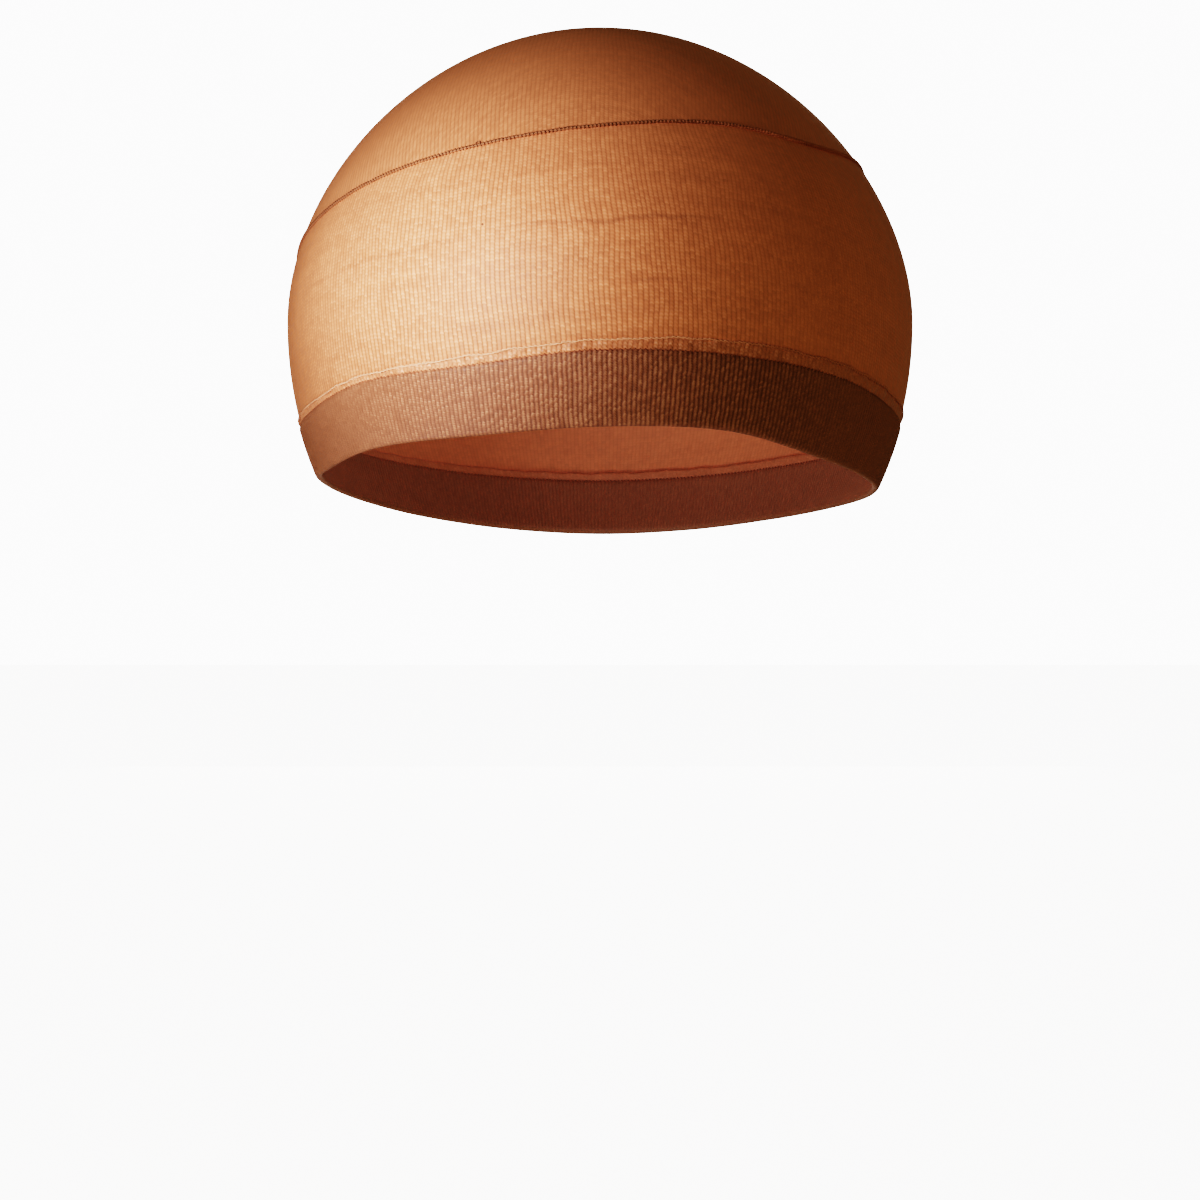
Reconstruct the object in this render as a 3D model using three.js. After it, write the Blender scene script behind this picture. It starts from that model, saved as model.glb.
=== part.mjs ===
// Stocking wig cap: a sheer knitted tube drawn over the shape of a head. Its toe is closed by one
// overlocked seam over the front of the crown, and its rim is a doubled knit band, joined to the
// crown by a narrow looped strip.
// Millimetres, +Z up. The front of the cap faces -Y and the wearer's left side is +X. The origin
// is the middle of the head opening. An azimuth is measured in degrees from the front towards +X,
// and a lift is measured in degrees from the widest level of the head up to the top of the crown.
import * as THREE from 'three';

// The stretched shape of the head inside the cap
const HALF_WIDTH = 77.5;
const FRONT_REACH = 88;
const BACK_REACH = 96;
const WIDEST_LEVEL = 38.9;   // height of the widest level above the head opening
const CROWN_RISE = 75.2;     // from the widest level up to the top
const SIDE_DROP = 86;        // how slowly the sides draw in below the widest level
const CROWN_TAPER = 0.18;    // how much slimmer than an ellipsoid the crown is towards its top
const TAPER_EASE = 0.3;      // how gently that taper sets in above the widest level
const TOP_SET_BACK = 10;     // how far the top of the head lies behind its middle
const BACK_LEAN = 0.06;      // each level falls by this much for each millimetre towards the back

// The cloth: how far each face lies inside (or, if negative, outside) the crown's outer face
const CROWN_WALL = 1.0;
const STRIP_OUTER = -0.35;
const STRIP_INNER = 1.05;
const BAND_OUTER = -0.6;
const BAND_INNER = 1.2;
const SEAT_GAP = 0.3;        // between pieces that are knitted or sewn together

// Edges round the head: the height of each one above the head opening, at equal turns
const EDGE_ROWS = [
  { azimuth: 0, hem: 9.0, bandTop: 24.7, stripTop: 27.2 },
  { azimuth: 22.5, hem: 8.6, bandTop: 24.2, stripTop: 27.6 },
  { azimuth: 45, hem: 4.0, bandTop: 21.4, stripTop: 24.8 },
  { azimuth: 67.5, hem: 0.6, bandTop: 16.7, stripTop: 19.9 },
  { azimuth: 90, hem: -1.4, bandTop: 13.4, stripTop: 16.4 },
  { azimuth: 112.5, hem: -3.2, bandTop: 11.4, stripTop: 14.2 },
  { azimuth: 135, hem: -5.6, bandTop: 9.3, stripTop: 12.0 },
  { azimuth: 157.5, hem: -8.0, bandTop: 7.4, stripTop: 10.1 },
  { azimuth: 180, hem: -9.0, bandTop: 6.5, stripTop: 9.1 },
  { azimuth: 202.5, hem: -7.8, bandTop: 7.3, stripTop: 9.8 },
  { azimuth: 225, hem: -5.0, bandTop: 9.3, stripTop: 11.6 },
  { azimuth: 247.5, hem: -1.4, bandTop: 11.8, stripTop: 14.0 },
  { azimuth: 270, hem: 1.7, bandTop: 13.4, stripTop: 15.5 },
  { azimuth: 292.5, hem: 3.0, bandTop: 15.8, stripTop: 17.9 },
  { azimuth: 315, hem: 6.2, bandTop: 20.4, stripTop: 22.1 },
  { azimuth: 337.5, hem: 7.5, bandTop: 22.1, stripTop: 24.5 },
];

// The toe seam: its height above the head opening, at equal turns
const SEAM_ROWS = [
  { azimuth: -90, height: 54.0 },
  { azimuth: -67.5, height: 59.6 },
  { azimuth: -45, height: 65.8 },
  { azimuth: -22.5, height: 70.5 },
  { azimuth: 0, height: 74.1 },
  { azimuth: 22.5, height: 76.2 },
  { azimuth: 45, height: 74.8 },
  { azimuth: 67.5, height: 76.0 },
  { azimuth: 90, height: 75.5 },
];
const SEAM_LEFT_END = -88;
const SEAM_RIGHT_END = 84;
const SEAM_WIDTH = 1.8;
const SEAM_HEIGHT = 1.0;
const SEAM_CLEARANCE = 0.35; // from the crown's facets to the underside of the seam

// How finely the cloth is divided
const AROUND = 72;
const CROWN_LEVELS = 24;
const SEAM_STEPS = 56;
const SEAM_SIDES = 8;
const LOWEST_LIFT = -60;     // a lift that is below every edge
const TOP_LIFT = 90;
const HALVINGS = 30;         // steps in the search for the lift of a height
const NUDGE = 0.5;           // degrees to each side of a point, to find which way the cloth runs

// The band's section, from its folded hem: how far up the band, and how far through the cloth from
// its outer face to its inner face
const BAND_SECTION = [
  { up: 0.05, through: 0 },
  { up: 0.5, through: 0 },
  { up: 0.96, through: 0.05 },
  { up: 1, through: 0.3 },
  { up: 1, through: 0.75 },
  { up: 0.5, through: 1 },
  { up: 0.05, through: 1 },
  { up: 0, through: 0.7 },
  { up: 0, through: 0.3 },
];

// The strip's section: a flat braid of loops, a little thicker along its upper edge
const STRIP_SECTION = [
  { up: 0, through: 0.25 },
  { up: 0.5, through: 0.15 },
  { up: 0.85, through: 0 },
  { up: 1, through: 0.25 },
  { up: 1, through: 0.8 },
  { up: 0, through: 0.8 },
];

const radians = THREE.MathUtils.degToRad;

// A point of the head's shape, at a depth inside the crown's outer face
function headPoint(azimuth, lift, depth) {
  const turn = radians(azimuth);
  const rising = Math.sin(radians(lift));
  const onCrown = lift > 0;
  const taper = onCrown ? CROWN_TAPER * rising ** 2 / (rising + TAPER_EASE) : 0;
  const width = Math.cos(radians(lift)) * Math.sqrt(1 - taper);
  const reach = (Math.cos(turn) > 0 ? FRONT_REACH : BACK_REACH) - depth;
  const rise = (onCrown ? CROWN_RISE : SIDE_DROP) - depth;
  const setBack = onCrown ? TOP_SET_BACK * rising ** 2 : 0;
  const x = (HALF_WIDTH - depth) * width * Math.sin(turn);
  const y = setBack - reach * width * Math.cos(turn);
  const z = WIDEST_LEVEL + rise * rising - BACK_LEAN * y;
  return new THREE.Vector3(x, y, z);
}

// The lift at which the head's shape reaches a height, found by halving
function liftAt(azimuth, height) {
  let low = LOWEST_LIFT;
  let high = TOP_LIFT;
  for (let step = 0; step < HALVINGS; step += 1) {
    const middle = (low + high) / 2;
    if (headPoint(azimuth, middle, 0).z < height) {
      low = middle;
    } else {
      high = middle;
    }
  }
  return (low + high) / 2;
}

// A smooth value between four equally spaced ones, a share of the way from the second to the third
function smooth(before, from, to, after, share) {
  const slopeFrom = (to - before) / 2;
  const slopeTo = (after - from) / 2;
  const bend = 2 * from - 2 * to + slopeFrom + slopeTo;
  const curve = -3 * from + 3 * to - 2 * slopeFrom - slopeTo;
  return ((bend * share + curve) * share + slopeFrom) * share + from;
}

// The height of an edge at any azimuth
function edgeHeight(edge, azimuth) {
  const count = EDGE_ROWS.length;
  const turn = EDGE_ROWS[1].azimuth;
  const place = THREE.MathUtils.euclideanModulo(azimuth, 360) / turn;
  const row = Math.floor(place);
  const height = (offset) => EDGE_ROWS[(row + offset + count) % count][edge];
  return smooth(height(-1), height(0), height(1), height(2), place - row);
}

// The height of the toe seam at any azimuth that it crosses
function seamHeight(azimuth) {
  const turn = SEAM_ROWS[1].azimuth - SEAM_ROWS[0].azimuth;
  const place = (azimuth - SEAM_ROWS[0].azimuth) / turn;
  const row = Math.min(Math.floor(place), SEAM_ROWS.length - 2);
  const height = (offset) => {
    const index = THREE.MathUtils.clamp(row + offset, 0, SEAM_ROWS.length - 1);
    return SEAM_ROWS[index].height;
  };
  return smooth(height(-1), height(0), height(1), height(2), place - row);
}

// A named mesh from points and triangles
function clothMesh(name, points, triangles, finish) {
  const geometry = new THREE.BufferGeometry();
  const places = points.flatMap((point) => point.toArray());
  geometry.setAttribute('position', new THREE.Float32BufferAttribute(places, 3));
  geometry.setIndex(triangles);
  geometry.computeVertexNormals();
  const mesh = new THREE.Mesh(geometry, new THREE.MeshStandardMaterial(finish));
  mesh.name = name;
  return mesh;
}

// Two triangles that fill the four-sided face a, b, c, d
function quad(a, b, c, d) {
  return [a, b, c, a, c, d];
}

// A ring round the head: its section is carried between two edges, and closes on itself
function ringPiece(name, section, lowEdge, highEdge, outer, inner, finish) {
  const points = [];
  const triangles = [];
  for (let turn = 0; turn < AROUND; turn += 1) {
    const azimuth = 360 * turn / AROUND;
    const low = liftAt(azimuth, lowEdge(azimuth));
    const high = liftAt(azimuth, highEdge(azimuth));
    for (const { up, through } of section) {
      const lift = THREE.MathUtils.lerp(low, high, up);
      points.push(headPoint(azimuth, lift, THREE.MathUtils.lerp(outer, inner, through)));
    }
    const next = (turn + 1) % AROUND;
    for (let corner = 0; corner < section.length; corner += 1) {
      const after = (corner + 1) % section.length;
      const here = turn * section.length;
      const there = next * section.length;
      triangles.push(...quad(here + corner, there + corner, there + after, here + after));
    }
  }
  return clothMesh(name, points, triangles, finish);
}

// The crown: an outer and an inner face that meet at the lower edge and each close at the top
function crown() {
  const points = [];
  const triangles = [];
  const at = (face, level, turn) => (
    (face * CROWN_LEVELS + level) * AROUND + (turn % AROUND)
  );
  for (const depth of [0, CROWN_WALL]) {
    for (let level = 0; level < CROWN_LEVELS; level += 1) {
      for (let turn = 0; turn < AROUND; turn += 1) {
        const azimuth = 360 * turn / AROUND;
        const edge = liftAt(azimuth, edgeHeight('stripTop', azimuth) + SEAT_GAP);
        const lift = THREE.MathUtils.lerp(edge, TOP_LIFT, level / CROWN_LEVELS);
        points.push(headPoint(azimuth, lift, depth));
      }
    }
  }
  const outerTop = points.push(headPoint(0, TOP_LIFT, 0)) - 1;
  const innerTop = points.push(headPoint(0, TOP_LIFT, CROWN_WALL)) - 1;
  for (let turn = 0; turn < AROUND; turn += 1) {
    const next = turn + 1;
    for (let level = 0; level < CROWN_LEVELS - 1; level += 1) {
      const above = level + 1;
      triangles.push(...quad(
        at(0, level, turn), at(0, level, next), at(0, above, next), at(0, above, turn),
      ));
      triangles.push(...quad(
        at(1, level, turn), at(1, above, turn), at(1, above, next), at(1, level, next),
      ));
    }
    const last = CROWN_LEVELS - 1;
    triangles.push(at(0, last, turn), at(0, last, next), outerTop);
    triangles.push(at(1, last, next), at(1, last, turn), innerTop);
    triangles.push(...quad(at(0, 0, turn), at(1, 0, turn), at(1, 0, next), at(0, 0, next)));
  }
  const finish = { color: 0xb9773f, roughness: 0.75, metalness: 0 };
  return clothMesh('crown', points, triangles, finish);
}

// The doubled band that grips the head, folded at its hem
function weltBand() {
  const finish = { color: 0x74452b, roughness: 0.85, metalness: 0 };
  return ringPiece(
    'welt_band', BAND_SECTION,
    (azimuth) => edgeHeight('hem', azimuth),
    (azimuth) => edgeHeight('bandTop', azimuth),
    BAND_OUTER, BAND_INNER, finish,
  );
}

// The looped strip that joins the crown to the band
function joiningStrip() {
  const finish = { color: 0xc89468, roughness: 0.7, metalness: 0 };
  return ringPiece(
    'joining_strip', STRIP_SECTION,
    (azimuth) => edgeHeight('bandTop', azimuth) + SEAT_GAP,
    (azimuth) => edgeHeight('stripTop', azimuth),
    STRIP_OUTER, STRIP_INNER, finish,
  );
}

// The overlocked seam that closes the toe: a low oval bead across the front of the crown
function toeSeam() {
  const points = [];
  const triangles = [];
  const path = (azimuth) => headPoint(azimuth, liftAt(azimuth, seamHeight(azimuth)), 0);
  for (let step = 0; step <= SEAM_STEPS; step += 1) {
    const azimuth = THREE.MathUtils.lerp(SEAM_LEFT_END, SEAM_RIGHT_END, step / SEAM_STEPS);
    const lift = liftAt(azimuth, seamHeight(azimuth));
    const centre = headPoint(azimuth, lift, 0);
    const along = path(azimuth + NUDGE).sub(path(azimuth - NUDGE)).normalize();
    const above = headPoint(azimuth, lift + NUDGE, 0);
    const below = headPoint(azimuth, lift - NUDGE, 0);
    const uphill = above.clone().sub(below);
    const outward = along.clone().cross(uphill).normalize();
    const across = outward.clone().cross(along);
    const middle = SEAM_CLEARANCE + SEAM_HEIGHT / 2;
    for (let side = 0; side < SEAM_SIDES; side += 1) {
      const angle = 2 * Math.PI * side / SEAM_SIDES;
      points.push(centre.clone()
        .addScaledVector(across, SEAM_WIDTH / 2 * Math.cos(angle))
        .addScaledVector(outward, middle + SEAM_HEIGHT / 2 * Math.sin(angle)));
    }
  }
  for (let step = 0; step < SEAM_STEPS; step += 1) {
    for (let side = 0; side < SEAM_SIDES; side += 1) {
      const here = step * SEAM_SIDES;
      const there = here + SEAM_SIDES;
      const after = (side + 1) % SEAM_SIDES;
      triangles.push(...quad(here + side, here + after, there + after, there + side));
    }
  }
  const last = SEAM_STEPS * SEAM_SIDES;
  for (let side = 1; side < SEAM_SIDES - 1; side += 1) {
    triangles.push(0, side + 1, side);
    triangles.push(last, last + side, last + side + 1);
  }
  const finish = { color: 0x5a2a14, roughness: 0.85, metalness: 0 };
  return clothMesh('toe_seam', points, triangles, finish);
}

const wigCap = new THREE.Group();
wigCap.add(crown(), joiningStrip(), weltBand(), toeSeam());

export default wigCap;
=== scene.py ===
"""A stocking wig cap: a sheer knitted tube drawn over the shape of a head.

Its toe is closed by one overlocked seam, its rim is a doubled knit band, and a narrow looped strip
joins the two. Metres, +Z up, the front of the cap towards -Y, the origin in the middle of the head
opening. An azimuth is in degrees from the front towards +X, and a lift in degrees from the widest
level of the head up to the top of the crown. A way is a direction from the middle of the head, of
length 1. A depth is measured inwards from the crown's face.
"""
import bisect
import math

import bpy
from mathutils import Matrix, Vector, noise


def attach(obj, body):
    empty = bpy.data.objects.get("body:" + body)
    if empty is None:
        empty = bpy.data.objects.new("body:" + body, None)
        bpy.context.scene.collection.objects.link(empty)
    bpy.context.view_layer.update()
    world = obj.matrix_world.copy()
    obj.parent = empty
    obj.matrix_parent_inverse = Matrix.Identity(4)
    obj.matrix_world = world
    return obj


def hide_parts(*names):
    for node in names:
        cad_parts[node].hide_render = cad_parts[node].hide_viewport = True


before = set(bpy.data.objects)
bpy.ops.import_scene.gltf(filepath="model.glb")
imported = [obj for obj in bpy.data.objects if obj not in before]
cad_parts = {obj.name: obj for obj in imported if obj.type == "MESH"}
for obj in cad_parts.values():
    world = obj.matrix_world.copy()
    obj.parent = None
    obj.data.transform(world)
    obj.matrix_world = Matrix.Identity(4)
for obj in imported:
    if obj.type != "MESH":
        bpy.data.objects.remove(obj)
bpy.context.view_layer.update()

MM = 0.001

# The shape of the head inside the cap
HALF_WIDTH = 77.5 * MM
FRONT_REACH = 88 * MM
BACK_REACH = 96 * MM
WIDEST_LEVEL = 38.9 * MM     # height of the widest level above the head opening
CROWN_RISE = 75.2 * MM       # from the widest level up to the top
SIDE_DROP = 86 * MM          # how slowly the sides draw in below the widest level
CROWN_TAPER = 0.18           # how much slimmer than an ellipsoid the crown is towards its top
TAPER_EASE = 0.3             # how gently that taper sets in above the widest level
TOP_SET_BACK = 10 * MM       # how far the top of the head lies behind its middle
BACK_LEAN = 0.06             # each level falls by this share of its way towards the back

# How the lift of a height is found: between these two, in this many halvings
LOWEST_LIFT = -60
TOP_LIFT = 90
HALVINGS = 30

# Heights above the head opening, in millimetres, at equal turns round the head
EDGE_ROWS = [
    {"azimuth": 0, "hem": 9.0, "band_top": 24.7, "strip_top": 27.2},
    {"azimuth": 22.5, "hem": 8.6, "band_top": 24.2, "strip_top": 27.6},
    {"azimuth": 45, "hem": 4.0, "band_top": 21.4, "strip_top": 24.8},
    {"azimuth": 67.5, "hem": 0.6, "band_top": 16.7, "strip_top": 19.9},
    {"azimuth": 90, "hem": -1.4, "band_top": 13.4, "strip_top": 16.4},
    {"azimuth": 112.5, "hem": -3.2, "band_top": 11.4, "strip_top": 14.2},
    {"azimuth": 135, "hem": -5.6, "band_top": 9.3, "strip_top": 12.0},
    {"azimuth": 157.5, "hem": -8.0, "band_top": 7.4, "strip_top": 10.1},
    {"azimuth": 180, "hem": -9.0, "band_top": 6.5, "strip_top": 9.1},
    {"azimuth": 202.5, "hem": -7.8, "band_top": 7.3, "strip_top": 9.8},
    {"azimuth": 225, "hem": -5.0, "band_top": 9.3, "strip_top": 11.6},
    {"azimuth": 247.5, "hem": -1.4, "band_top": 11.8, "strip_top": 14.0},
    {"azimuth": 270, "hem": 1.7, "band_top": 13.4, "strip_top": 15.5},
    {"azimuth": 292.5, "hem": 3.0, "band_top": 15.8, "strip_top": 17.9},
    {"azimuth": 315, "hem": 6.2, "band_top": 20.4, "strip_top": 22.1},
    {"azimuth": 337.5, "hem": 7.5, "band_top": 22.1, "strip_top": 24.5},
]
SEAM_ROWS = [
    {"azimuth": -90, "height": 54.0},
    {"azimuth": -67.5, "height": 59.6},
    {"azimuth": -45, "height": 65.8},
    {"azimuth": -22.5, "height": 70.5},
    {"azimuth": 0, "height": 74.1},
    {"azimuth": 22.5, "height": 76.2},
    {"azimuth": 45, "height": 74.8},
    {"azimuth": 67.5, "height": 76.0},
    {"azimuth": 90, "height": 75.5},
]
SEAM_LEFT_END = -88
SEAM_RIGHT_END = 84

# The knitting: wales run up the tube side by side, courses run round it one above another
WALES = 440
COLUMNS_PER_WALE = 3
COURSE_PITCH = 0.8 * MM
WAVERS_ACROSS = 6            # how often the wales stray to a side over the head
WELD = 0.01 * MM             # points closer than this become one

# The crown
CROWN_ROWS = 64
CROWN_RIB = 0.06 * MM        # how far a wale stands above the gaps beside it
CROWN_TUCK = 0.8 * MM        # how far the crown runs down behind the strip
WALE_WAVER = 0.6             # degrees that a wale strays to each side
WAVER_FADE = 8               # it strays less over the first and last eighth of its way
RIB_FADE = 30                # its rib runs out over the last thirtieth, up to the toe seam

# Where the crown is drawn open, on the key light's side, where its painted thread highlights and
# painted gap shade also show: wherever the way to a place lies near enough to this one
DRAWN_TOWARD = Vector((-0.31, -0.93, -0.17))
CLOSED_FROM = 0.55           # the cosine of the angle between the two where it closes
OPENING_RATE = 2.2
LEAST_OPEN = 0.12

# The wales of the back: they arch over the head, from the rim to the toe seam's upper side
ARCH_TOWARD = Vector((0, 0.1, 1))
BACK_ARCH = 1.0              # how high they arch
BACK_SPREAD = 0.6            # the lower, the sooner they arch as high next to the sides
CROSSING_REACH = 0.3         # ways that lean further to the back than this are clear of the seam
SIDE_GAP = 0.3               # degrees that they keep behind the front's side wales
SIDE_REACH = 15              # degrees from each end of the seam over which they run down beside it

# The band, the strip and their sections: each row of loops lies so far up and so far through
BAND_OUTER = -0.45 * MM
BAND_INNER = 1.2 * MM
BAND_RIB = 0.30 * MM
BAND_COURSE_PITCH = 0.55 * MM
BAND_TOOTH = 0.35            # degrees of lift that each wale of the band runs up over the strip
RING_WAVER = 0.12            # degrees that a wale of either one strays to each side
RING_HEIGHT = 60             # degrees of lift that their height takes up in that waver
FOLD_FADE = 12               # their ribs run out over a twelfth of the height, at each fold
STRIP_OUTER = -0.30 * MM
STRIP_INNER = 1.05 * MM
STRIP_RIB = 0.07 * MM
STRIP_RUFFLE = 0.35 * MM
RUFFLE_LENGTH = 1.8 * MM
EDGE_WAVER = 0.45 * MM       # how far the strip's top edge wavers up and down
EDGE_WAVES = 12
BAND_TURNS = [
    {"row": 0, "up": 1.0, "through": 0.5},
    {"row": 1, "up": 1.0, "through": 0.25},
    {"row": 2, "up": 0.985, "through": 0.06},
    {"row": 3, "up": 0.94, "through": 0.0},
    {"row": 25, "up": 0.06, "through": 0.0},
    {"row": 26, "up": 0.02, "through": 0.1},
    {"row": 27, "up": 0.0, "through": 0.35},
    {"row": 28, "up": 0.0, "through": 0.65},
    {"row": 29, "up": 0.02, "through": 0.9},
    {"row": 30, "up": 0.06, "through": 1.0},
    {"row": 42, "up": 0.96, "through": 1.0},
    {"row": 43, "up": 1.0, "through": 0.75},
    {"row": 44, "up": 1.0, "through": 0.5},
]
STRIP_TURNS = [
    {"row": 0, "up": 0.0, "through": 0.3},
    {"row": 6, "up": 0.7, "through": 0.15},
    {"row": 8, "up": 0.92, "through": 0.0},
    {"row": 9, "up": 1.0, "through": 0.3},
    {"row": 10, "up": 1.0, "through": 0.8},
    {"row": 14, "up": 0.0, "through": 0.8},
    {"row": 15, "up": 0.0, "through": 0.3},
]

# Sewn lines. A loop of thread is so wide along the cloth, stands so high out of it, and is bent
# from thread of that radius; its tilt is in degrees, and its lift is its middle's from the cloth
WAVER = 0.15 * MM            # how far a sewn line wavers to each side
WAVER_LENGTH = 5 * MM
NUDGE = 0.5                  # degrees to each side over which the slope of the head is taken
EDGE_CHAIN = {
    "width": 1.5 * MM, "height": 0.45 * MM, "thread": 0.13 * MM, "tilt": 78, "lift": 0.26 * MM}
CHAIN_DROP = 0.25 * MM       # how far below the strip's top edge its chain of loops runs
SEAM_STEPS = 320
SEAM_PITCH = 0.85 * MM
SEAM_RUN_IN = 32 * MM        # the length over which the seam flattens towards each end
END_FLATNESS = 0.1           # what is then left of its height
SEAM_WRAPS = {
    "width": 0.66 * MM, "height": 0.66 * MM, "thread": 0.19 * MM, "tilt": 24, "lift": 0.22 * MM}
SEAM_ROLL = {"width": 0.42 * MM, "height": 0.48 * MM, "lift": 0.20 * MM}
ROLL_SIDES = 8

# Stray threads, with their place in degrees, above_seam a difference of lift
STRAY_THREADS = [
    {"name": "left_loop", "azimuth": -22, "above_seam": 0.45, "size": 1.3 * MM, "hole": 0.65},
    {"name": "right_loop", "azimuth": 42, "above_seam": 0.3, "size": 1.2 * MM, "hole": 0.5},
    {"name": "slub", "azimuth": -19, "above_seam": -15.5, "size": 0.5 * MM, "hole": 0.05},
]
STRAY_STANDING = 0.15 * MM   # how far the middle of a stray thread stands off the crown


def mix(start, end, share):
    return start + (end - start) * share


def smooth(before, start, end, after, share):
    """A smooth value between four equally spaced ones, between the second and the third."""
    slope_start = (end - before) / 2
    slope_end = (after - start) / 2
    bend = 2 * start - 2 * end + slope_start + slope_end
    curve = -3 * start + 3 * end - 2 * slope_start - slope_end
    return ((bend * share + curve) * share + slope_start) * share + start


def fading(share, rate):
    """1 along most of a way, and less towards both of its ends, where it is 0."""
    return min(1, rate * share, rate * (1 - share))


def direction(azimuth, lift):
    """The way from the middle of the head to an azimuth and lift."""
    turn, up = math.radians(azimuth), math.radians(lift)
    return Vector((math.sin(turn) * math.cos(up), -math.cos(turn) * math.cos(up), math.sin(up)))


def head_point(azimuth, lift, depth=0.0):
    """A point of the head's shape, at a depth inside the crown's outer face."""
    turn = math.radians(azimuth)
    rising = math.sin(math.radians(lift))
    on_crown = lift > 0
    taper = CROWN_TAPER * rising ** 2 / (rising + TAPER_EASE) if on_crown else 0
    width = math.cos(math.radians(lift)) * math.sqrt(1 - taper)
    reach = (FRONT_REACH if math.cos(turn) > 0 else BACK_REACH) - depth
    rise = (CROWN_RISE if on_crown else SIDE_DROP) - depth
    set_back = TOP_SET_BACK * rising ** 2 if on_crown else 0
    x = (HALF_WIDTH - depth) * width * math.sin(turn)
    y = set_back - reach * width * math.cos(turn)
    return Vector((x, y, WIDEST_LEVEL + rise * rising - BACK_LEAN * y))


def lift_at(azimuth, height):
    """The lift at which the head's shape reaches a height, found by halving."""
    low, high = LOWEST_LIFT, TOP_LIFT
    for _ in range(HALVINGS):
        middle = (low + high) / 2
        if head_point(azimuth, middle).z < height:
            low = middle
        else:
            high = middle
    return (low + high) / 2


def edge_height(edge, azimuth):
    """The height of an edge of the band or strip at any azimuth, in metres."""
    place = (azimuth % 360) / EDGE_ROWS[1]["azimuth"]
    row = math.floor(place)
    around = [EDGE_ROWS[(row + offset) % len(EDGE_ROWS)][edge] for offset in (-1, 0, 1, 2)]
    return smooth(*around, place - row) * MM


def hem(azimuth):
    return edge_height("hem", azimuth)


def band_top(azimuth):
    return edge_height("band_top", azimuth)


def strip_top(azimuth):
    """The height of the strip's wavering top edge, in metres."""
    way = direction(azimuth, 0) * EDGE_WAVES
    waver = noise.noise(way) + noise.noise(way * 3) / 2
    return edge_height("strip_top", azimuth) + EDGE_WAVER * waver


def seam_height(azimuth):
    """The height of the toe seam at any azimuth that it crosses, in metres."""
    turn = SEAM_ROWS[1]["azimuth"] - SEAM_ROWS[0]["azimuth"]
    place = (azimuth - SEAM_ROWS[0]["azimuth"]) / turn
    last = len(SEAM_ROWS) - 1
    row = min(math.floor(place), last - 1)
    along = [SEAM_ROWS[min(max(row + offset, 0), last)]["height"] for offset in (-1, 0, 1, 2)]
    return smooth(*along, place - row) * MM


def select_none():
    bpy.ops.object.select_all(action="DESELECT")


def newly_added(name):
    """The piece that was just added, under its own name."""
    piece = bpy.context.object
    piece.name = name
    piece.data.name = name
    return piece


def flat_panel(name, columns, rows):
    """A flat panel of knitting, one unit each way."""
    select_none()
    bpy.ops.mesh.primitive_grid_add(x_subdivisions=columns, y_subdivisions=rows, size=1)
    return newly_added(name)


def lay_panel(panel, columns, rows, place, course_pitch):
    """Lays a flat panel over the head, and counts its wales and courses into its UV map."""
    mesh = panel.data
    points = [place(column / columns, row / rows)
              for row in range(rows + 1) for column in range(columns + 1)]
    mesh.vertices.foreach_set("co", [value for point in points for value in point])
    across = columns + 1
    courses = [0.0] * len(points)
    for here in range(across, len(points)):
        below = here - across
        courses[here] = courses[below] + (points[here] - points[below]).length / course_pitch
    count = mesh.uv_layers.active
    count.name = "Loops"
    for loop in mesh.loops:
        vertex = loop.vertex_index
        count.data[loop.index].uv = (vertex % across / COLUMNS_PER_WALE, courses[vertex])
    bpy.ops.object.mode_set(mode="EDIT")
    bpy.ops.mesh.select_all(action="SELECT")
    bpy.ops.mesh.remove_doubles(threshold=WELD)
    bpy.ops.object.mode_set(mode="OBJECT")
    bpy.ops.object.shade_smooth()
    return panel


def rib(wale):
    """The height of a wale's rounded back, from 0 in the gap to 1 on the ridge."""
    return 0.5 + 0.5 * math.cos(math.tau * wale)


def drawn_open(way):
    """How far the crown's knit is drawn open in a way from the middle, up to 1."""
    return min(max((way.dot(DRAWN_TOWARD) - CLOSED_FROM) * OPENING_RATE, LEAST_OPEN), 1)


def crown_wales():
    """For each column of the crown: where it leaves the rim, meets the toe seam, and its arch."""
    columns = WALES * COLUMNS_PER_WALE
    wales = []
    for column in range(columns + 1):
        around = column / columns
        in_front = around <= 0.5
        share = 2 * around if in_front else 2 - 2 * around
        rim = mix(-90, 90, share) if in_front else mix(270, 90, share)
        toe = mix(SEAM_LEFT_END, SEAM_RIGHT_END, share)
        wales.append({
            "rim": direction(rim, lift_at(rim, edge_height("strip_top", rim) - CROWN_TUCK)),
            "toe": direction(toe, lift_at(toe, seam_height(toe))),
            "arch": 0 if in_front else BACK_ARCH * math.sin(math.pi * share) ** BACK_SPREAD,
        })
    return wales


def behind_the_seam(azimuth, lift):
    """Keeps a wale of the back from crossing the front's side wales and the toe seam."""
    side, end = (-90, SEAM_LEFT_END) if azimuth < 0 else (90, SEAM_RIGHT_END)
    inward = min(abs(azimuth), abs(end))
    seam_azimuth = math.copysign(inward, azimuth)
    seam_lift = lift_at(seam_azimuth, seam_height(seam_azimuth))
    if lift >= seam_lift or abs(azimuth) >= abs(side) + SIDE_GAP:
        return azimuth, lift
    end_lift = lift_at(end, seam_height(end))
    if inward < abs(end) - SIDE_REACH or lift >= end_lift:
        return azimuth, seam_lift
    rim_lift = lift_at(side, edge_height("strip_top", side))
    risen = max(lift - rim_lift, 0) / (end_lift - rim_lift)
    edge = mix(abs(side), abs(end), risen) + SIDE_GAP
    return math.copysign(max(abs(azimuth), edge), azimuth), lift


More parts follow.
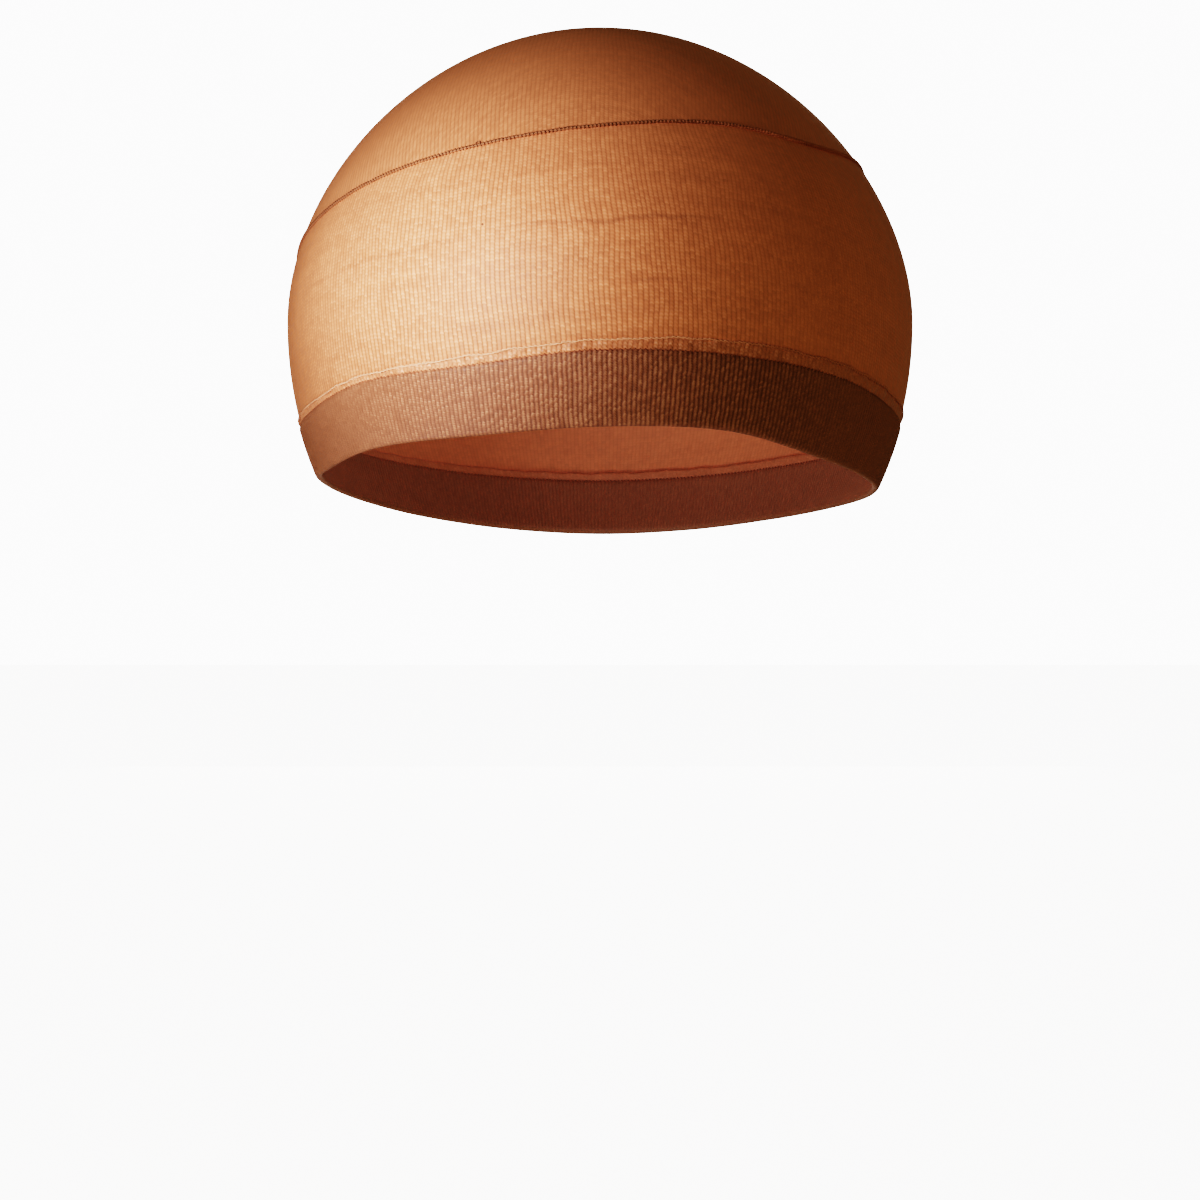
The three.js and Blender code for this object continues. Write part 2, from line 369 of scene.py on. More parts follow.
def build_crown():
    """The sheer crown: one knitted tube, drawn over the head and closed at its toe."""
    columns = WALES * COLUMNS_PER_WALE
    wales = crown_wales()

    def place(around, rise):
        wale = wales[round(around * columns)]
        arched = ARCH_TOWARD * wale["arch"] * 4 * rise * (1 - rise)
        way = wale["rim"].lerp(wale["toe"], rise) + arched
        way.normalize()
        azimuth = math.degrees(math.atan2(way.x, -way.y))
        lift = math.degrees(math.asin(way.z))
        azimuth += WALE_WAVER * noise.noise(way * WAVERS_ACROSS) * fading(rise, WAVER_FADE)
        if 0.5 < around < 1 and way.y < CROSSING_REACH and 0 < rise < 1:
            azimuth, lift = behind_the_seam(azimuth, lift)
        height = CROWN_RIB * drawn_open(way) * rib(around * WALES) * min(1, RIB_FADE * (1 - rise))
        return head_point(azimuth, lift, -height)

    crown = flat_panel("crown_knit", columns, CROWN_ROWS)
    return lay_panel(crown, columns, CROWN_ROWS, place, COURSE_PITCH)


def section_at(turns, row):
    """How far up and how far through the cloth a row of loops lies."""
    for before, after in zip(turns, turns[1:]):
        if row <= after["row"]:
            share = (row - before["row"]) / (after["row"] - before["row"])
            up = mix(before["up"], after["up"], share)
            return up, mix(before["through"], after["through"], share)
    return turns[-1]["up"], turns[-1]["through"]


def build_ring(name, turns, low_edge, high_edge, outer, inner, rib_height, course_pitch,
               tooth=0, ruffle=0):
    """A ring of knitting round the head, folded into a closed section."""
    columns = WALES * COLUMNS_PER_WALE
    rows = turns[-1]["row"]
    edges = []
    for column in range(columns + 1):
        azimuth = -90 + 360 * column / columns
        edges.append((lift_at(azimuth, low_edge(azimuth)), lift_at(azimuth, high_edge(azimuth))))

    def place(around, along):
        up, through = section_at(turns, along * rows)
        low, high = edges[round(around * columns)]
        high += tooth * rib(around * WALES) * up
        azimuth = -90 + 360 * around
        azimuth += RING_WAVER * noise.noise(direction(azimuth, RING_HEIGHT * up) * WAVERS_ACROSS)
        flat = fading(up, FOLD_FADE) if 0 < through < 1 else 1
        side = 1 if through < 0.5 else -1
        depth = mix(outer, inner, through) - side * flat * rib_height * (rib(around * WALES) - 0.5)
        lift = mix(low, high, up)
        if side > 0:
            depth -= ruffle * flat * noise.noise(head_point(azimuth, lift) / RUFFLE_LENGTH)
        return head_point(azimuth, lift, depth)

    ring = flat_panel(name, columns, rows)
    return lay_panel(ring, columns, rows, place, course_pitch)


def build_band():
    """The band: a doubled ring of ribbed knitting, folded at the hem."""
    return build_ring(
        "welt_knit", BAND_TURNS, hem, band_top,
        BAND_OUTER, BAND_INNER, BAND_RIB, BAND_COURSE_PITCH, tooth=BAND_TOOTH)


class Trail:
    """A line over the head: sewn rows are made straight, then carried along it."""

    def __init__(self, place, steps, run_in=0.0):
        """place gives the azimuth and height for a share of the way; run_in is flattened."""
        self.run_in = run_in
        self.points, self.alongs, self.outwards, self.distances = [], [], [], [0.0]
        for step in range(steps + 1):
            azimuth, height = place(step / steps)
            lift = lift_at(azimuth, height)
            uphill = head_point(azimuth, lift + NUDGE) - head_point(azimuth, lift - NUDGE)
            sideways = head_point(azimuth + NUDGE, lift) - head_point(azimuth - NUDGE, lift)
            self.points.append(head_point(azimuth, lift))
            self.outwards.append(sideways.cross(uphill).normalized())
        for step in range(steps + 1):
            before, after = max(step - 1, 0), min(step + 1, steps)
            self.alongs.append((self.points[after] - self.points[before]).normalized())
            if step:
                self.distances.append(
                    self.distances[-1] + (self.points[step] - self.points[step - 1]).length)
        self.length = self.distances[-1]

    def at(self, distance, across, out):
        """The point at a distance along the line, to its upper side, and out from the head."""
        distance = min(max(distance, 0), self.length)
        after = min(bisect.bisect_left(self.distances, distance, 1), len(self.points) - 1)
        before = after - 1
        step = self.distances[after] - self.distances[before]
        share = (distance - self.distances[before]) / step
        along = self.alongs[before].lerp(self.alongs[after], share)
        outward = self.outwards[before].lerp(self.outwards[after], share)
        upper = outward.cross(along).normalized()
        end = min(distance, self.length - distance)
        if end < self.run_in:
            out *= mix(END_FLATNESS, 1, smooth(0, 0, 1, 1, end / self.run_in))
        return self.points[before].lerp(self.points[after], share) + upper * across + outward * out


def waver_at(distance, kind):
    """How far a sewn line strays to its upper side; each kind of line strays in its own way."""
    return noise.noise(Vector((distance / WAVER_LENGTH, kind, 0))) * WAVER


def sewn_row(name, trail, count, width, height, thread, tilt, lift):
    """A row of thread loops along a trail: one loop is modelled, arrayed and carried along."""
    pitch = trail.length / count
    select_none()
    bpy.ops.mesh.primitive_torus_add(
        major_radius=0.5, minor_radius=thread / width, major_segments=10, minor_segments=5,
        location=(pitch / 2, 0, lift), rotation=(0, math.radians(90), 0))
    row = newly_added(name)
    bpy.ops.object.transform_apply(location=False, rotation=True, scale=False)
    row.scale = (width, width, height)
    row.rotation_euler = (0, 0, math.radians(tilt))
    bpy.ops.object.transform_apply(location=True, rotation=True, scale=True)
    array = row.modifiers.new("row", "ARRAY")
    array.count = count
    array.use_relative_offset = False
    array.use_constant_offset = True
    array.constant_offset_displace = (pitch, 0, 0)
    bpy.ops.object.modifier_apply(modifier=array.name)
    for vertex in row.data.vertices:
        along, across, out = vertex.co
        vertex.co = trail.at(along, across + waver_at(along, tilt), out)
    bpy.ops.object.shade_smooth()
    return row


def rolled_edge(name, trail, steps, width, height, lift):
    """The rolled edge of cloth inside a sewn row: a flat strip, rolled up along a trail."""
    panel = flat_panel(name, steps, ROLL_SIDES)

    def place(along, around):
        turn = math.tau * around
        distance = along * trail.length
        across = waver_at(distance, width) - width / 2 * math.cos(turn)
        return trail.at(distance, across, lift + height / 2 * math.sin(turn))

    return lay_panel(panel, steps, ROLL_SIDES, place, COURSE_PITCH)


def stray_thread(name, azimuth, lift, size, hole):
    """A loop of thread pulled out of the knitting, or a knot where its hole is small."""
    outward = (head_point(azimuth, lift, -MM) - head_point(azimuth, lift)).normalized()
    select_none()
    bpy.ops.mesh.primitive_torus_add(
        major_radius=size * (1 + hole) / 4, minor_radius=size * (1 - hole) / 4,
        major_segments=16, minor_segments=8, location=head_point(azimuth, lift, -STRAY_STANDING),
        rotation=outward.to_track_quat("Z", "Y").to_euler())
    stray = newly_added(name)
    bpy.ops.object.transform_apply(location=True, rotation=True, scale=True)
    bpy.ops.object.shade_smooth()
    return stray


def joined(first, *others):
    """One piece made of several."""
    select_none()
    for piece in (first, *others):
        piece.select_set(True)
    bpy.context.view_layer.objects.active = first
    bpy.ops.object.join()
    return first


def build_strip():
    """The looped strip: a narrow ring of knitting, with a chain of loops along its top edge."""
    strip = build_ring(
        "strip_knit", STRIP_TURNS, band_top, strip_top,
        STRIP_OUTER, STRIP_INNER, STRIP_RIB, COURSE_PITCH, ruffle=STRIP_RUFFLE)

    def place(share):
        azimuth = -90 + 360 * share
        return azimuth, strip_top(azimuth) - CHAIN_DROP

    return strip, sewn_row("strip_edge", Trail(place, WALES), WALES, **EDGE_CHAIN)


def build_seam():
    """The overlocked toe seam: a rolled edge with thread wrapped round it."""
    def place(share):
        azimuth = mix(SEAM_LEFT_END, SEAM_RIGHT_END, share)
        return azimuth, seam_height(azimuth)

    trail = Trail(place, SEAM_STEPS, SEAM_RUN_IN)
    edge = rolled_edge("toe_roll", trail, SEAM_STEPS, **SEAM_ROLL)
    wraps = sewn_row("toe_wraps", trail, round(trail.length / SEAM_PITCH), **SEAM_WRAPS)
    strays = []
    for row in STRAY_THREADS:
        lift = lift_at(row["azimuth"], seam_height(row["azimuth"])) + row["above_seam"]
        strays.append(stray_thread(row["name"], row["azimuth"], lift, row["size"], row["hole"]))
    return edge, joined(wraps, *strays)


# The materials: what the knits and the threads share
CLOSED_SHOWS = 0.15          # how much of its pattern a knit keeps where it is closed
CLOSED_TONE = 0.7            # where its colour is then, from its gaps' to its threads'
CLOSED_UNEVEN = 0.35         # how much of its unevenness it then keeps
BUMP_STRENGTH = (0.2, 0.9)   # of its relief, where it is closed and where it is open
WARM_TINT = (1.0, 0.55, 0.45, 1)
WARMTH = (0.0, 0.3)          # how much of that tint the palest and the darkest mottling take on
GLINT_FROM = 0.1           # a painted glint shows on a loop where its mottling and its own tone together pass this
GLINT_TO = 0.6
WALE_STREAK = {"X": 4.7, "Y": 0.15}       # steps through the noise for each wale and course,
COURSE_STREAK = {"X": 0.025, "Y": 0.3}    # for streaks up a wale and streaks round a course
CLOUD = {"Detail": 3, "Roughness": 0.6}
COURSE_DRIFT = 6             # how many courses a tight course drifts up and down
DRIFT_SCALE = 0.05
COURSE_EDGE = {"From Min": 1.1, "From Max": 0.1}    # how far off it its line ends, and is full
COURSE_RUN_IN = 8            # how many wales it takes to fade in and out
THREAD_KEY_SIDE = direction(-28, 12)          # the way to the key light's side, where a thread takes its painted key-side colour
KEY_SIDE_FROM = 0.52
KEY_SIDE_FULL = 0.8
PLAIN_ROUGHNESS = 0.6


class Wiring:
    """Adds nodes to one node tree, and joins them."""

    def __init__(self, tree):
        self.tree = tree

    def node(self, kind, inputs=(), **settings):
        """A new node, with its settings and its inputs, each a number, a colour or a socket."""
        node = self.tree.nodes.new(kind)
        for setting, value in settings.items():
            setattr(node, setting, value)
        for socket, value in dict(inputs).items():
            self.feed(node.inputs[socket], value)
        return node

    def feed(self, socket, value):
        if isinstance(value, bpy.types.NodeSocket):
            self.tree.links.new(value, socket)
        else:
            socket.default_value = value

    def group(self, tree, inputs):
        """A node group's outputs, for its inputs."""
        return self.node("ShaderNodeGroup", inputs, node_tree=tree).outputs

    def math(self, operation, *values):
        node = self.node("ShaderNodeMath", enumerate(values), operation=operation)
        return node.outputs["Value"]

    def mapped(self, inputs):
        """A value carried from one range to another, both 0 to 1 where they aren't given."""
        return self.node("ShaderNodeMapRange", inputs).outputs["Result"]

    def span(self, value, low, high):
        """Turns a value from 0 to 1 into one from low to high."""
        return self.mapped({"Value": value, "To Min": low, "To Max": high})

    def blend(self, share, first, second, blend_type="MIX"):
        """A mix of two colours."""
        node = self.node("ShaderNodeMix", data_type="RGBA", blend_type=blend_type)
        sockets = (node.inputs[0], node.inputs[6], node.inputs[7])
        for socket, value in zip(sockets, (share, first, second)):
            self.feed(socket, value)
        return node.outputs[2]

    def combined(self, x, y):
        return self.node("ShaderNodeCombineXYZ", {"X": x, "Y": y}).outputs["Vector"]

    def wale_and_course(self, count):
        """The two counts that a knit's UV map holds."""
        parts = self.node("ShaderNodeSeparateXYZ", {"Vector": count}).outputs
        return parts["X"], parts["Y"]


def new_group(name, inputs, outputs):
    """An empty node group with named sockets, its wiring, and its two end nodes."""
    group = bpy.data.node_groups.new(name, "ShaderNodeTree")
    for socket, value in inputs.items():
        kind = "NodeSocketFloat" if isinstance(value, (int, float)) else "NodeSocketVector"
        made = group.interface.new_socket(socket, in_out="INPUT", socket_type=kind)
        if value is not None:
            made.default_value = value
    for socket in outputs:
        group.interface.new_socket(socket, in_out="OUTPUT", socket_type="NodeSocketFloat")
    wires = Wiring(group)
    return group, wires, wires.node("NodeGroupInput").outputs, wires.node("NodeGroupOutput").inputs


def knitted_loops():
    """The pattern of the knitting, from a count of wales across and of courses up."""
    group, wires, given, put = new_group(
        "knitted loops",
        {"Loops": None, "Slant": 0.5, "Twist": 0.0, "Fullness": 2.0, "Stagger": 0.0},
        ("Ridge", "Leg", "Height", "Wale Tone", "Loop Tone", "Course Tone"))
    wale, course = wires.wale_and_course(given["Loops"])

    def streaks(across, steps, detail):
        place = wires.combined(
            wires.math("MULTIPLY", across, steps["X"]), wires.math("MULTIPLY", course, steps["Y"]))
        inputs = {"Vector": place, "Scale": 1, "Detail": detail}
        return wires.node("ShaderNodeTexNoise", inputs, noise_dimensions="2D").outputs["Fac"]

    shifted = wires.math("ADD", wale, 0.5)
    wale_number = wires.math("FLOOR", shifted)
    across = wires.math("SUBTRACT", wires.math("FRACT", shifted), 0.5)
    aside = wires.math("ABSOLUTE", across)
    fallen = wires.math("POWER", wires.math("MULTIPLY", aside, 2), given["Fullness"])
    ridge = wires.math("SUBTRACT", 1, fallen)
    start = wires.node("ShaderNodeTexWhiteNoise", {"W": wale_number}, noise_dimensions="1D")
    started = wires.math("MULTIPLY_ADD", start.outputs["Value"], given["Stagger"], course)
    slanted = wires.math("MULTIPLY_ADD", aside, given["Slant"], started)
    rise = wires.math("MULTIPLY_ADD", across, given["Twist"], slanted)
    wave = wires.math("SINE", wires.math("MULTIPLY", rise, math.tau))
    leg = wires.math("MULTIPLY_ADD", wave, 0.5, 0.5)
    loop_number = wires.combined(wale_number, wires.math("FLOOR", rise))
    loop_tone = wires.node(
        "ShaderNodeTexWhiteNoise", {"Vector": loop_number}, noise_dimensions="2D").outputs["Value"]
    for socket, value in {
        "Ridge": ridge, "Leg": leg,
        "Height": wires.math("MULTIPLY_ADD", leg, 0.5, wires.math("MULTIPLY", ridge, 0.5)),
        "Wale Tone": streaks(wale_number, WALE_STREAK, 2),
        "Loop Tone": loop_tone,
        "Course Tone": streaks(wale, COURSE_STREAK, 4),
    }.items():
        wires.feed(put[socket], value)
    return group


def uneven_cloth():
    """How the cloth is drawn over the head: patches, a fine mottle, and where it opens most, which is
    also where a knit's painted highlights and shade show and the side of a painted thread colour.
    """
    group, wires, given, put = new_group(
        "uneven cloth",
        {"Patch Size": 0.03, "Patches": 0.2, "Mottle Size": 0.002, "Mottle": 0.2,
         "Toward": DRAWN_TOWARD, "Slackest": 0.4, "Tightest": 0.95},
        ("Tone", "Tint", "Openness"))
    place = wires.node("ShaderNodeTexCoord").outputs["Object"]

    def cloud(size):
        inputs = {"Vector": place, "Scale": wires.math("DIVIDE", 1, given[size]), **CLOUD}
        return wires.node("ShaderNodeTexNoise", inputs).outputs["Fac"]

    def sway(value, contrast):
        return wires.math("MULTIPLY", wires.math("SUBTRACT", value, 0.5), given[contrast])

    def vector(operation, *values):
        return wires.node("ShaderNodeVectorMath", enumerate(values), operation=operation).outputs

    middle = vector("SUBTRACT", place, (0, 0, WIDEST_LEVEL))["Vector"]
    way = vector("NORMALIZE", middle)["Vector"]
    mottle = cloud("Mottle Size")
    tone = wires.math("ADD", sway(cloud("Patch Size"), "Patches"), sway(mottle, "Mottle"))
    wires.feed(put["Tone"], tone)
    wires.feed(put["Tint"], mottle)
    wires.feed(put["Openness"], wires.mapped({
        "Value": vector("DOT_PRODUCT", way, given["Toward"])["Value"],
        "From Min": given["Slackest"], "From Max": given["Tightest"], "To Min": CLOSED_SHOWS}))
    return group


def tight_course():
    """A course knitted a little tighter than the rest, which shows as a faint darker line."""
    group, wires, given, put = new_group(
        "tight course",
        {"Loops": None, "Course": 30, "First Wale": 40, "Last Wale": 130},
        ("Mask",))
    wale, course = wires.wale_and_course(given["Loops"])
    drift = wires.node(
        "ShaderNodeTexNoise", {"W": wale, "Scale": DRIFT_SCALE}, noise_dimensions="1D").outputs["Fac"]
    level = wires.math("MULTIPLY_ADD", drift, COURSE_DRIFT, given["Course"])
    off_line = wires.math("ABSOLUTE", wires.math("SUBTRACT", course, level))
    line = wires.mapped({"Value": off_line, **COURSE_EDGE})

    def fade(inside):
        return wires.mapped({"Value": inside, "From Max": COURSE_RUN_IN})

    started = fade(wires.math("SUBTRACT", wale, given["First Wale"]))
    unfinished = fade(wires.math("SUBTRACT", given["Last Wale"], wale))
    run = wires.math("MULTIPLY", started, unfinished)
    wires.feed(put["Mask"], wires.math("MULTIPLY", line, run))
    return group


groups = {"loops": knitted_loops(), "cloth": uneven_cloth(), "tight": tight_course()}


def new_material(name):
    """An empty material, its wiring and its shader."""
    material = bpy.data.materials.new(name)
    material.use_nodes = True
    return material, Wiring(material.node_tree), material.node_tree.nodes["Principled BSDF"]


def knit_colour(wires, finish, loops, drawn):
    """Threads lighter than their gaps, partly the knit's own pattern and partly a painted highlight
    on the threads and painted shade in the gaps, with painted glints, where the knit is open; one
    even colour where not.
    """
    leg = wires.math("MULTIPLY", loops["Leg"], finish["leg"])
    shade = wires.math("MULTIPLY_ADD", loops["Ridge"], 1 - finish["leg"], leg)
    knitting = wires.blend(shade, (*finish["gap"], 1), (*finish["thread"], 1))
    warmth = wires.span(drawn["Tint"], *WARMTH)
    knitting = wires.blend(warmth, knitting, WARM_TINT, "MULTIPLY")
    # Painted glints: pale spots on the raised loops, standing in for the nylon's shine
    glint_share = wires.mapped({
        "Value": wires.math("MULTIPLY", drawn["Tint"], loops["Loop Tone"]),
        "From Min": GLINT_FROM, "From Max": GLINT_TO, "To Max": finish["painted_glints"]})
    raised = wires.math("MULTIPLY", loops["Leg"], loops["Ridge"])
    glint_share = wires.math("MULTIPLY", raised, glint_share)
    knitting = wires.blend(glint_share, knitting, (*finish["painted_glint"], 1))
    # Where the knit is closed, its painted highlights and shade give way to this one even colour
    closed = [mix(gap, thread, CLOSED_TONE) for gap, thread in zip(finish["gap"], finish["thread"])]
    return wires.blend(drawn["Openness"], (*closed, 1), knitting)


def knit_level(wires, finish, count, loops, drawn):
    """How light or dark the knit is from place to place, as a share of its colour, with painted light
    on the key light's side where a finish asks for it.
    """
    uneven = drawn["Tone"]
    for tone, strength in finish["tones"].items():
        uneven = wires.math("ADD", uneven, wires.span(loops[tone], -strength, strength))
    level = wires.math("MULTIPLY_ADD", uneven, wires.span(drawn["Openness"], CLOSED_UNEVEN, 1), 1)
    for row in finish.get("tight_courses", ()):
        tight = wires.group(groups["tight"], {"Loops": count, **row["place"]})
        level = wires.math("MULTIPLY_ADD", tight["Mask"], -row["darkness"], level)
    # Painted light: the knit is made paler towards the key light's side and darker away from it
    if "painted_light_toward" in finish:
        lit_side_share = wires.group(groups["cloth"], finish["painted_light_toward"])["Openness"]
        level = wires.math("MULTIPLY", level, wires.span(lit_side_share, *finish["painted_light_levels"]))
    return wires.node(
        "ShaderNodeCombineColor", {"Red": level, "Green": level, "Blue": level}).outputs["Color"]


def knit_material(name, finish):
    """Knitted nylon. Its finish names its colours, and relief is the height of its loops."""
    material, wires, shader = new_material(name)
    count = wires.node("ShaderNodeUVMap", uv_map="Loops").outputs["UV"]
    loops = wires.group(groups["loops"], {"Loops": count, **finish["loops"]})
    drawn = wires.group(groups["cloth"], finish["cloth"])
    colour = knit_colour(wires, finish, loops, drawn)
    level = knit_level(wires, finish, count, loops, drawn)
    wires.feed(shader.inputs["Base Color"], wires.blend(1, colour, level, "MULTIPLY"))
    wires.feed(shader.inputs["Roughness"], wires.span(loops["Loop Tone"], *finish["roughness"]))
    bump = wires.node("ShaderNodeBump", {
        "Strength": wires.span(drawn["Openness"], *BUMP_STRENGTH),
        "Distance": finish["relief"], "Height": loops["Height"]})
    wires.feed(shader.inputs["Normal"], bump.outputs["Normal"])
    if "opacity" in finish:
        wires.feed(shader.inputs["Alpha"], wires.span(loops["Height"], *finish["opacity"]))
    shader.inputs["Sheen Weight"].default_value = finish["sheen"]
    shader.inputs["Sheen Tint"].default_value = (*finish["thread"], 1)
    shader.inputs["Specular IOR Level"].default_value = finish["gloss"]
    return material


def plain_cloth(name, colour):
    material, wires, shader = new_material(name)
    shader.inputs["Base Color"].default_value = (*colour, 1)
    shader.inputs["Roughness"].default_value = PLAIN_ROUGHNESS
    return material, wires, shader


def thread_painted_by_side(name, tight, shade_side):
    """Thread painted in one colour towards the key light's side and in another away from it, as
    painted light and shade.
    """
    material, wires, shader = plain_cloth(name, tight)
    drawn = wires.group(groups["cloth"], {
        "Toward": THREAD_KEY_SIDE, "Slackest": KEY_SIDE_FROM, "Tightest": KEY_SIDE_FULL})
    # Painted light and shade: the first colour on the key light's side, the second away from it
    colour = wires.blend(drawn["Openness"], (*shade_side, 1), (*tight, 1))
    wires.feed(shader.inputs["Base Color"], colour)
    return material


def dress(piece, node, material):
    """Gives a piece its material and its place in the assembly."""
    piece.data.materials.clear()
    piece.data.materials.append(material)
    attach(piece, "root")
    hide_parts(node)


# The finishes. The values under loops and cloth are inputs of those two node groups
# A finish's thread and gap colours are the knit's own two tones, with a painted highlight on the
# threads and painted shade in the gaps; its glint colour is a painted glint
SHEER = {
    "thread": (0.715, 0.288, 0.157), "gap": (0.38, 0.125, 0.058), "painted_glint": (0.90, 0.50, 0.34),
    "relief": 0.06 * MM, "opacity": (0.96, 1.0),
    "loops": {"Slant": 0.5, "Twist": 0.3, "Fullness": 2.4, "Stagger": 0.4},
    "cloth": {"Patch Size": 0.03, "Patches": 0.3, "Mottle Size": 0.0008, "Mottle": 0.3,
              "Toward": DRAWN_TOWARD, "Slackest": 0.6, "Tightest": 1.0},
    "leg": 0.10, "painted_glints": 0.3,
    "tones": {"Wale Tone": 0.16, "Loop Tone": 0.1, "Course Tone": 0.14},
    "tight_courses": [
        {"place": {"Course": 29, "First Wale": 34, "Last Wale": 88}, "darkness": 0.14},
        {"place": {"Course": 30, "First Wale": 90, "Last Wale": 136}, "darkness": 0.20},
        {"place": {"Course": 13, "First Wale": 112, "Last Wale": 130}, "darkness": 0.16},
    ],
    "roughness": (0.5, 0.65), "sheen": 0.05, "gloss": 0.25,
}
RIBBED = {
    "thread": (0.37, 0.158, 0.090), "gap": (0.12, 0.043, 0.023), "painted_glint": (0.66, 0.38, 0.25),
    "relief": 0.07 * MM,
    "loops": {"Slant": 0.2, "Twist": 0.9, "Fullness": 1.3, "Stagger": 0.8},
    "cloth": {"Patch Size": 0.02, "Patches": 0.2, "Mottle Size": 0.0004, "Mottle": 0.8,
              "Toward": direction(0, -8), "Slackest": 0.68, "Tightest": 0.98},
    "leg": 0.22, "painted_glints": 0.6,
    "tones": {"Wale Tone": 0.15, "Loop Tone": 0.14, "Course Tone": 0.02},
    "roughness": (0.45, 0.7), "sheen": 0.45, "gloss": 0.35,
}
LOOPED = {
    "thread": (0.66, 0.27, 0.15), "gap": (0.44, 0.16, 0.083), "painted_glint": (0.90, 0.55, 0.40),
    "relief": 0.10 * MM,
    "loops": {"Slant": 0.8, "Twist": 0.4, "Fullness": 2.0, "Stagger": 0.5},
    "cloth": {"Patch Size": 0.008, "Patches": 0.3, "Mottle Size": 0.0006, "Mottle": 0.6,
              "Toward": direction(-12, -8), "Slackest": 0.6, "Tightest": 0.95},
    "leg": 0.2, "painted_glints": 0.5,
    "tones": {"Wale Tone": 0.15, "Loop Tone": 0.15, "Course Tone": 0.02},
    # Painted light on the strip: paler towards its key-lit front left, darker away from it
    "painted_light_toward": {"Toward": direction(-40, -8), "Slackest": 0.62, "Tightest": 0.82},
    "painted_light_levels": (0.78, 1.05),
    "roughness": (0.4, 0.6), "sheen": 0.05, "gloss": 0.35,
}
sheer_knit = knit_material("sheer knit", SHEER)
band_knit = knit_material("band knit", RIBBED)
looped_edge = knit_material("looped edge", LOOPED)
# The strip's edge thread is painted paler on the key light's side, as a painted highlight, and darker
# away from it
edge_thread = thread_painted_by_side("edge thread", (0.84, 0.42, 0.26), (0.58, 0.23, 0.12))
# The seam is painted darker on the key light's side, as painted shadow and shade in its crevices, and
# paler away from it, standing in for the missing light
seam_roll = thread_painted_by_side("seam roll", (0.30, 0.118, 0.057), (0.53, 0.205, 0.105))
seam_thread = thread_painted_by_side("seam thread", (0.25, 0.098, 0.047), (0.50, 0.19, 0.097))

crown = build_crown()
dress(crown, "crown", sheer_knit)
band = build_band()
dress(band, "welt_band", band_knit)
strip, strip_edge = build_strip()
dress(strip, "joining_strip", looped_edge)
dress(strip_edge, "joining_strip", edge_thread)
toe_roll, toe_wraps = build_seam()
dress(toe_roll, "toe_seam", seam_roll)
dress(toe_wraps, "toe_seam", seam_thread)

# The studio
FLOOR_LEVEL = -165 * MM
FLOOR_SIZE = 8
FLOOR_COLOUR = (0.85, 0.84, 0.83)
FLOOR_GLOW = (1, 0.99, 0.98, 1)
FLOOR_GLOW_STRENGTH = 3.6
AIR_COLOUR = (1.0, 0.9, 0.55, 1)
AIR_SEEN_COLOUR = (1, 1, 1, 1)
AIR_STRENGTH = (0.135, 5.0)  # as it lights the cap, and as it is seen
BROW = head_point(-33, 4)
LAMPS = [
    {"name": "key_light", "kind": "SPOT", "place": BROW + 0.184 * direction(-30, -3), "aim": BROW,
     "power": 2.95, "colour": (1.0, 0.98, 0.98), "spot_size": math.radians(39), "spot_blend": 1,
     "shadow_soft_size": 0.02},
    {"name": "side_fill", "kind": "AREA", "place": (0.9, -0.6, -0.25), "aim": (0, 0, 0.03),
     "power": 1.0, "colour": (1.0, 0.8, 0.3), "size": 0.6},
    {"name": "low_bounce", "kind": "AREA", "place": (0.11, -0.26, -0.16), "aim": (0.03, 0, 0.0),
     "power": 0.09, "colour": (1.0, 0.8, 0.35), "size": 0.12},
    {"name": "back_fill", "kind": "AREA", "place": (0, 1.2, 0.15), "aim": (0, 0, 0.04),
     "power": 2.5, "colour": (1.0, 0.95, 0.9), "size": 0.8},
    {"name": "low_left", "kind": "AREA", "place": (-0.17, -0.12, -0.15),
     "aim": (-0.075, -0.01, -0.005), "power": 0.27, "colour": (1.0, 0.97, 1.0), "size": 0.08},
    {"name": "glow_inside", "kind": "POINT", "place": (0, 0.01, 0.04), "aim": (0, 0, 0),
     "power": 0.05, "colour": (0.6, 0.85, 1.0), "shadow_soft_size": 0.03},
]
CAMERA_PLACE = (0.0, -0.540, -0.028)
CAMERA_LENS = 64.5
CAMERA_SENSOR = 36


def seen_directly(wires):
    """1 where the camera sees something straight on, and not through the cloth."""
    path = wires.node("ShaderNodeLightPath").outputs
    clear = wires.math("LESS_THAN", path["Transparent Depth"], 0.5)
    return wires.math("MULTIPLY", path["Is Camera Ray"], clear)


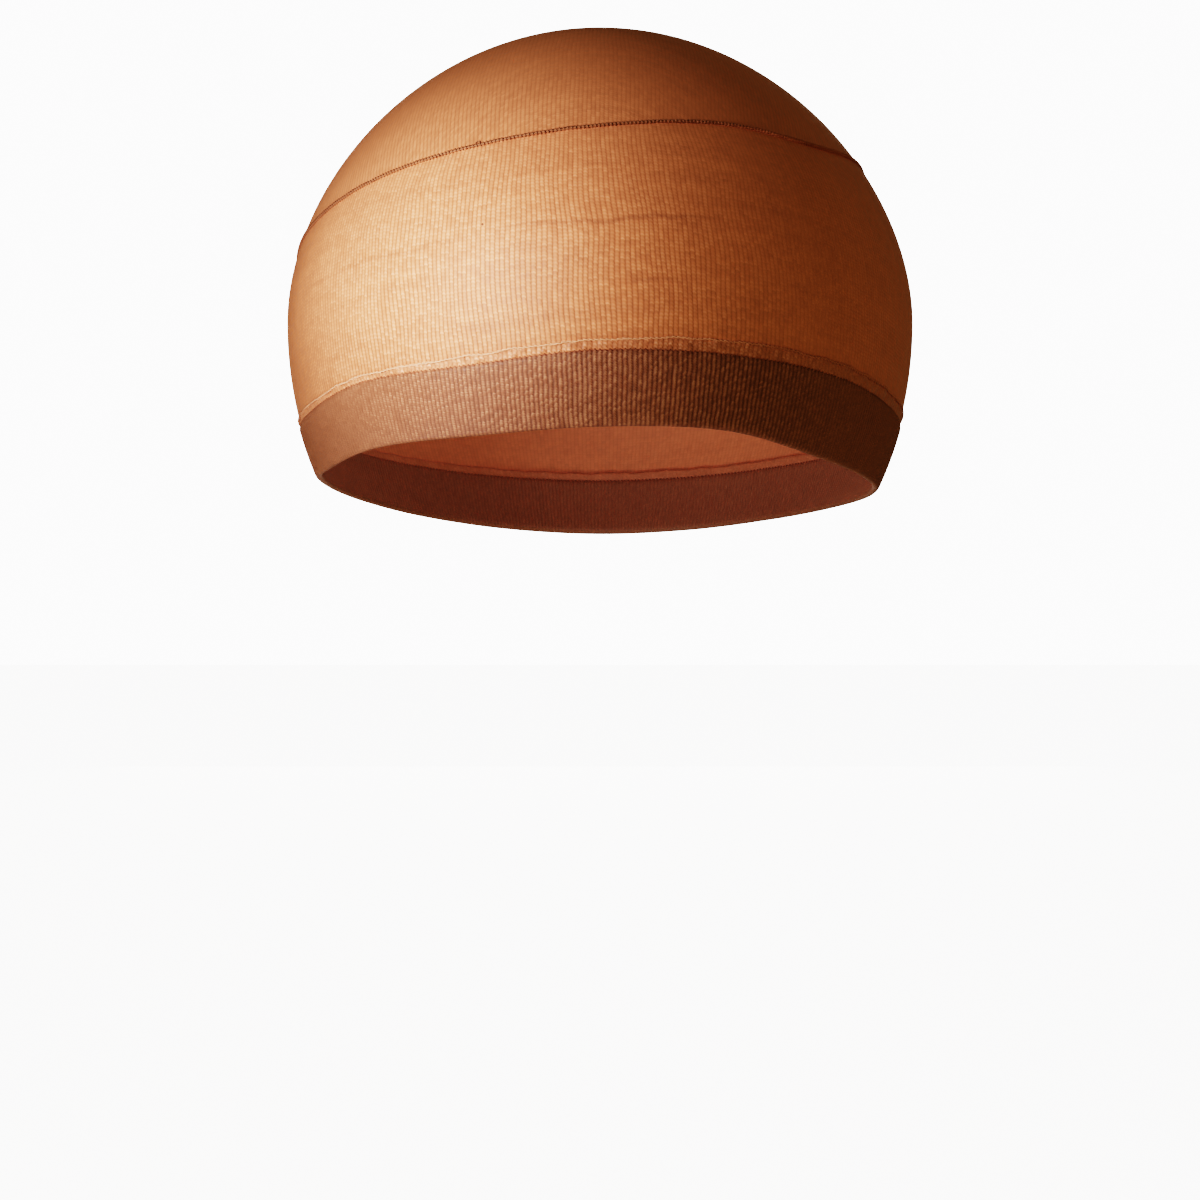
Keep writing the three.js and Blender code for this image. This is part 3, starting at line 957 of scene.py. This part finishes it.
def studio_floor():
    """A pale floor that looks as white as the air above it."""
    bpy.ops.mesh.primitive_plane_add(size=FLOOR_SIZE, location=(0, 0, FLOOR_LEVEL))
    floor = bpy.context.object
    floor.name = "studio_floor"
    material, wires, shader = plain_cloth("studio floor", FLOOR_COLOUR)
    floor.data.materials.append(material)
    shader.inputs["Emission Color"].default_value = FLOOR_GLOW
    glow = wires.math("MULTIPLY", seen_directly(wires), FLOOR_GLOW_STRENGTH)
    wires.feed(shader.inputs["Emission Strength"], glow)
    return floor


def studio_air():
    """White round the studio, but only a little of it lights the cap or shows through it."""
    world = bpy.data.worlds.new("studio_air")
    bpy.context.scene.world = world
    world.use_nodes = True
    wires = Wiring(world.node_tree)
    seen = seen_directly(wires)
    background = world.node_tree.nodes["Background"]
    wires.feed(background.inputs["Color"], wires.blend(seen, AIR_COLOUR, AIR_SEEN_COLOUR))
    wires.feed(background.inputs["Strength"], wires.span(seen, *AIR_STRENGTH))


def studio_lamp(name, kind, place, aim, power, colour, **settings):
    """A lamp at a place, aimed at a point of the cap, that isn't itself seen."""
    light = bpy.data.lights.new(name, kind)
    light.energy = power
    light.color = colour
    for setting, value in settings.items():
        setattr(light, setting, value)
    lamp = bpy.data.objects.new(name, light)
    lamp.location = place
    lamp.rotation_euler = (Vector(aim) - Vector(place)).to_track_quat("-Z", "Y").to_euler()
    lamp.visible_camera = False
    bpy.context.collection.objects.link(lamp)


def studio_camera():
    """The camera, level and straight in front of the cap, a little below its hem."""
    camera_data = bpy.data.cameras.new("camera")
    camera_data.lens = CAMERA_LENS
    camera_data.sensor_width = CAMERA_SENSOR
    camera = bpy.data.objects.new("camera", camera_data)
    camera.location = CAMERA_PLACE
    camera.rotation_euler = (math.radians(90), 0, 0)
    bpy.context.collection.objects.link(camera)
    bpy.context.scene.camera = camera


floor = studio_floor()
for lamp in LAMPS:
    studio_lamp(**lamp)
studio_air()
studio_camera()
bpy.context.scene.view_settings.view_transform = "Filmic"
bpy.context.scene.view_settings.look = "Very High Contrast"
